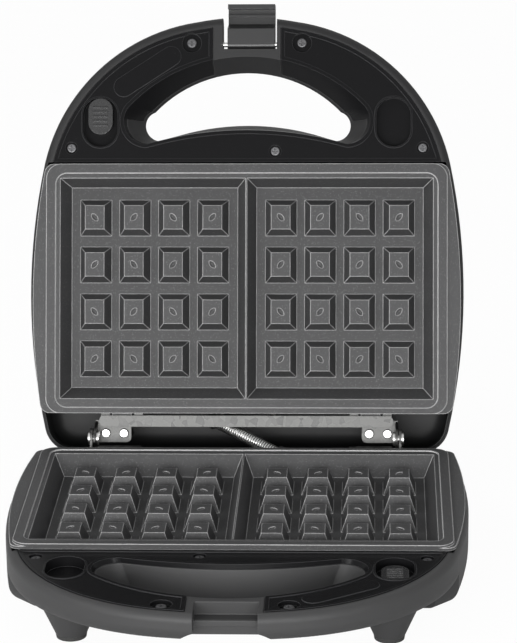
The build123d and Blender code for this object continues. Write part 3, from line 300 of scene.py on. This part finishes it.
def heaterTube():
    f = Finish("heaterTube")
    scale = f.noise(160, 4.0, 0.6)
    tone = f.ramp(scale, [(0.3, (0.09, 0.085, 0.08)), (0.6, (0.2, 0.19, 0.18)), (0.85, (0.24, 0.2, 0.15))])
    rough = 0.42 + scale * 0.2
    normal = f.bump(scale, 0.0001, 0.3)
    return f.surface(**{"Base Color": tone, "Metallic": 0.8, "Roughness": rough, "Normal": normal})


def paleCeramic():
    f = Finish("paleCeramic")
    mottle = f.noise(420, 4.0, 0.6)
    tone = f.blendColours(mottle, (0.62, 0.6, 0.55), (0.78, 0.76, 0.71))
    rough = 0.6 + mottle * 0.15
    normal = f.bump(mottle, 0.0001, 0.3, f.rounded(0.0003))
    return f.surface(**{"Base Color": tone, "Roughness": rough, "Normal": normal})


def padRubber():
    f = Finish("padRubber")
    grain = f.noise(1300, 4.0, 0.7)
    tone = f.blendColours(grain, (0.012, 0.012, 0.012), (0.035, 0.035, 0.034))
    rough = 0.75 + grain * 0.15
    normal = f.bump(grain, 0.0001, 0.5, f.rounded(0.0006))
    return f.surface(**{"Base Color": tone, "Roughness": rough, "Normal": normal})


def colouredLens(name, deep, light):
    f = Finish(name)
    cloud = f.noise(500, 3.0, 0.5)
    tone = f.blendColours(cloud, deep, light)
    rough = 0.08 + cloud * 0.06
    normal = f.bump(cloud, 0.00002, 0.2)
    return f.surface(**{"Base Color": tone, "Roughness": rough, "Coat Weight": 0.6, "Normal": normal})


print("making finishes")
finishes = {
    "baseShell": shellPlastic("baseShellPlastic", baseShellLook),
    "lidShell": shellPlastic("lidShellPlastic", lidShellLook),
    "trim": glossTrim(trimLook),
    "plate": plateCoat(plateLook),
    "zinc": zincSheet(zincLook),
    "steel": brightSteel(),
    "screws": blackScrews(),
    "latch": satinBlack("latchPlastic", (0.013, 0.013, 0.0135), 0.28),
    "slider": satinBlack("sliderPlastic", (0.011, 0.011, 0.0115), 0.22),
    "darkPlastic": satinBlack("darkPlastic", (0.02, 0.02, 0.02), 0.45),
    "heater": heaterTube(),
    "ceramic": paleCeramic(),
    "rubber": padRubber(),
    "redLens": colouredLens("redLens", (0.35, 0.01, 0.005), (0.62, 0.04, 0.02)),
    "greenLens": colouredLens("greenLens", (0.01, 0.22, 0.04), (0.04, 0.42, 0.1)),
}
# the finish of each piece: those that both halves have, then those that stand alone
halfLooks = {
    "handle_trim": "trim", "release_slider": "slider", "release_spring": "steel", "plate": "plate",
    "heat_tray": "zinc", "heater": "heater", "heater_saddles": "ceramic", "thermostat": "ceramic",
    "trim_screws": "screws", "tray_screws": "steel", "bracket_screws": "steel", "hinge_bracket_left": "zinc",
    "hinge_bracket_right": "zinc", "conduit_clip": "darkPlastic",
}
pieceLooks = {
    "base_shell": "baseShell", "lid_shell": "lidShell",
    "hinge_pin_left": "steel", "hinge_pin_right": "steel", "base_thermal_fuse": "ceramic", "latch": "latch",
    "latch_pin": "steel", "foot_pads": "rubber", "cord_gland": "darkPlastic", "terminal_block": "ceramic",
    "indicator_lens_left": "redLens", "indicator_lens_right": "greenLens", "wire_conduit": "steel",
}
for half in ("base", "lid"):
    for part, look in halfLooks.items():
        pieceLooks[f"{half}_{part}"] = look


def dress(obj, look):
    obj.data.materials.clear()
    obj.data.materials.append(finishes[look])


for name, look in pieceLooks.items():
    dress(nodes[name], look)
print("finishes on", len(pieceLooks), "pieces")


def softTwin(name):
    # a copy of the piece with its own mesh, shown in the scene while the piece itself is hidden
    twin = bpy.data.objects.new(name + "Soft", nodes[name].data.copy())
    bpy.context.scene.collection.objects.link(twin)
    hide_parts(name)
    return twin


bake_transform(softTwin("wire_conduit"))


def fitSpring(half):
    name = half + "_release_spring"
    twin = softTwin(name)
    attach(twin, half)
    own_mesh(twin)


for half in ("base", "lid"):
    fitSpring(half)

def meshFromGrid(name, points):
    # points is a rows by columns grid; neighbours join in fours
    rows, columns = points.shape[:2]
    count = np.arange(rows * columns).reshape(rows, columns)
    a, b = count[:-1], count[1:]
    faces = np.stack([a[:, :-1], b[:, :-1], b[:, 1:], a[:, 1:]], -1)
    mesh = bpy.data.meshes.new(name)
    mesh.from_pydata(points.reshape(-1, 3).tolist(), [], faces.reshape(-1, 4).tolist())
    mesh.validate()
    obj = bpy.data.objects.new(name, mesh)
    bpy.context.scene.collection.objects.link(obj)
    return obj


studio = {
    "floorColour": (0.86, 0.86, 0.86), "floorShade": 0.985, "floorGlow": 0.96,
    "floorReach": 3.0, "floorBack": 1.4, "floorBend": 1.2, "floorHeight": 2.2,
    "flatRows": 30, "bendRows": 24, "wallRows": 12, "columns": 21, "world": 0.5,
}
lamps = {
    "frontLamp": {"place": (-0.15, -1.15, 0.28), "aim": (0, -0.1, 0.06), "size": (1.3, 0.4), "power": 19.0},
    "sideLamp": {"place": (-1.3, -0.6, 1.3), "aim": (0, 0, 0.1), "size": (0.9, 0.9), "power": 7.0},
    "backLamp": {"place": (0.1, 1.3, 1.9), "aim": (0, 0, 0.1), "size": (1.6, 0.8), "power": 5.0},
}


def makeFloor(c):
    # a sheet flat in front that bends up behind by a quarter circle
    reach, bend, height, back = c["floorReach"], c["floorBend"], c["floorHeight"], c["floorBack"]
    flat = np.linspace(-reach, back, c["flatRows"])
    angle = np.linspace(0, math.pi / 2, c["bendRows"])[1:]
    rise = np.linspace(0, height, c["wallRows"])[1:]
    y = np.concatenate([flat, back + bend * np.sin(angle), np.full(len(rise), back + bend)])
    z = np.concatenate([np.zeros(len(flat)), bend * (1 - np.cos(angle)), bend + rise])
    x = np.linspace(-reach, reach, c["columns"])
    grid = np.stack(
        [
            np.repeat(x[None], len(y), 0),
            np.repeat(y[:, None], len(x), 1),
            np.repeat(z[:, None], len(x), 1),
        ],
        -1,
    )
    floor = meshFromGrid("floor", grid[:, ::-1])
    floor.data.shade_smooth()
    f = Finish("paleFloor")
    grain = f.noise(3, 3.0, 0.5)
    tone = f.blendColours(grain, tuple(v * c["floorShade"] for v in c["floorColour"]), c["floorColour"])
    matte = f.node("ShaderNodeBsdfDiffuse", None, {"Color": tone})
    glow = f.node("ShaderNodeEmission", None, {"Color": (1, 1, 1), "Strength": 1.0})
    seen = f.node("ShaderNodeLightPath")
    mixed = f.node("ShaderNodeMixShader", None, {0: seen * c["floorGlow"], 1: matte, 2: glow})
    f.tree.links.new(mixed.socket, f.output.inputs["Surface"])
    floor.data.materials.append(f.material)


def makeWorld(c):
    world = bpy.data.worlds.new("studio")
    world.use_nodes = True
    tree = world.node_tree
    tree.nodes.clear()
    path = tree.nodes.new("ShaderNodeLightPath")
    seen = path.outputs["Is Camera Ray"]
    for ray in ("Is Glossy Ray", "Is Transmission Ray"):
        total = tree.nodes.new("ShaderNodeMath")
        total.operation = "ADD"
        total.use_clamp = True
        tree.links.new(seen, total.inputs[0])
        tree.links.new(path.outputs[ray], total.inputs[1])
        seen = total.outputs[0]
    plain = tree.nodes.new("ShaderNodeBackground")
    plain.inputs["Color"].default_value = (1, 1, 1, 1)
    plain.inputs["Strength"].default_value = c["world"]
    white = tree.nodes.new("ShaderNodeBackground")
    white.inputs["Strength"].default_value = 1.0
    pick = tree.nodes.new("ShaderNodeMixShader")
    result = tree.nodes.new("ShaderNodeOutputWorld")
    tree.links.new(seen, pick.inputs[0])
    tree.links.new(plain.outputs[0], pick.inputs[1])
    tree.links.new(white.outputs[0], pick.inputs[2])
    tree.links.new(pick.outputs[0], result.inputs[0])
    bpy.context.scene.world = world


def makeLamp(name, c):
    data = bpy.data.lights.new(name, "AREA")
    data.shape = "RECTANGLE"
    data.size, data.size_y = c["size"]
    data.energy = c["power"]
    obj = bpy.data.objects.new(name, data)
    bpy.context.scene.collection.objects.link(obj)
    away = (Vector(c["place"]) - Vector(c["aim"])).normalized()
    obj.matrix_world = Matrix.Translation(c["place"]) @ away.to_track_quat("Z", "Y").to_matrix().to_4x4()


makeFloor(studio)
makeWorld(studio)
for name, lamp in lamps.items():
    makeLamp(name, lamp)
print("studio set")
